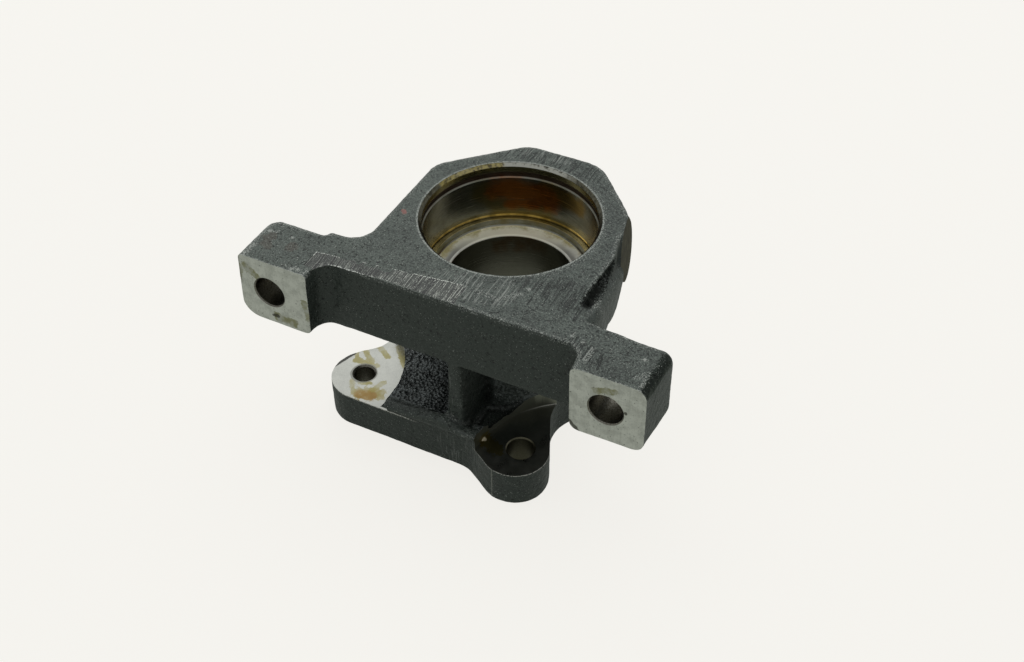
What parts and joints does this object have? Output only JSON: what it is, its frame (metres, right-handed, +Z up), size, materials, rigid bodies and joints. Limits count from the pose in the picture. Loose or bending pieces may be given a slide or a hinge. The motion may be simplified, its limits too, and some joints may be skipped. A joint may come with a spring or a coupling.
{
  "type": "bearing block",
  "caption": "Cast bearing block with a stepped vertical bore, a crossbar ending in milled bolting faces and a foot with drilled ears.",
  "frame": {"origin": "on the axis of the bore, at the underside of the foot", "axes": "+Z up along the bore towards the bearing seat, +X along the crossbar, +Y from the crossbar's bolting faces back to the hub"},
  "size_m": [0.22, 0.147, 0.1105],
  "materials": {
    "casting": "painted cast skin with machined seats"
  },
  "bodies": {
    "root": {"bearing_block": "casting"}
  },
  "joints": []
}
